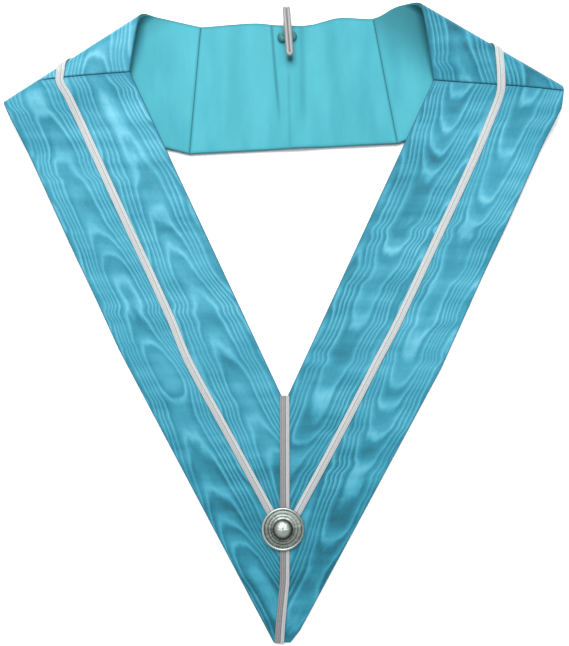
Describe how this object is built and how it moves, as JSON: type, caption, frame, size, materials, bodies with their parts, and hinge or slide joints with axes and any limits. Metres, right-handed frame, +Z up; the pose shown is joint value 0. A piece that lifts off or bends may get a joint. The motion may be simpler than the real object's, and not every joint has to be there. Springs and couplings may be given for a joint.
{
  "type": "masonic collar",
  "caption": "V-shaped collar of broad watered ribbon, lying with its shoulders folded under, with silver braid, a domed button at the crossing and a wire hook at the nape.",
  "frame": {"origin": "on the surface that the collar lies on, under the middle of its bounding box", "axes": "+Z up out of the face, +Y from the point of the V to the neck, +X to the viewer's right"},
  "size_m": [0.4466, 0.5096, 0.0197],
  "materials": {
    "moire_ribbon": "sky blue watered silk, fine ribs, soft sheen",
    "plain_lining": "plain light turquoise satin lining",
    "silver_braid": "silver thread braid of flat cords",
    "silver_button": "stamped silver, polished dome, darkened ground",
    "hook_wire": "bright plated wire"
  },
  "bodies": {
    "root": {"strap_left": "moire_ribbon", "strap_right": "moire_ribbon", "shoulder_left": "moire_ribbon", "shoulder_right": "moire_ribbon", "back_panel": "moire_ribbon", "lining_left": "plain_lining", "lining_right": "plain_lining", "lining_back": "plain_lining", "side_braid": "silver_braid", "centre_braid": "silver_braid", "button": "silver_button", "neck_hook": "hook_wire"}
  },
  "joints": []
}
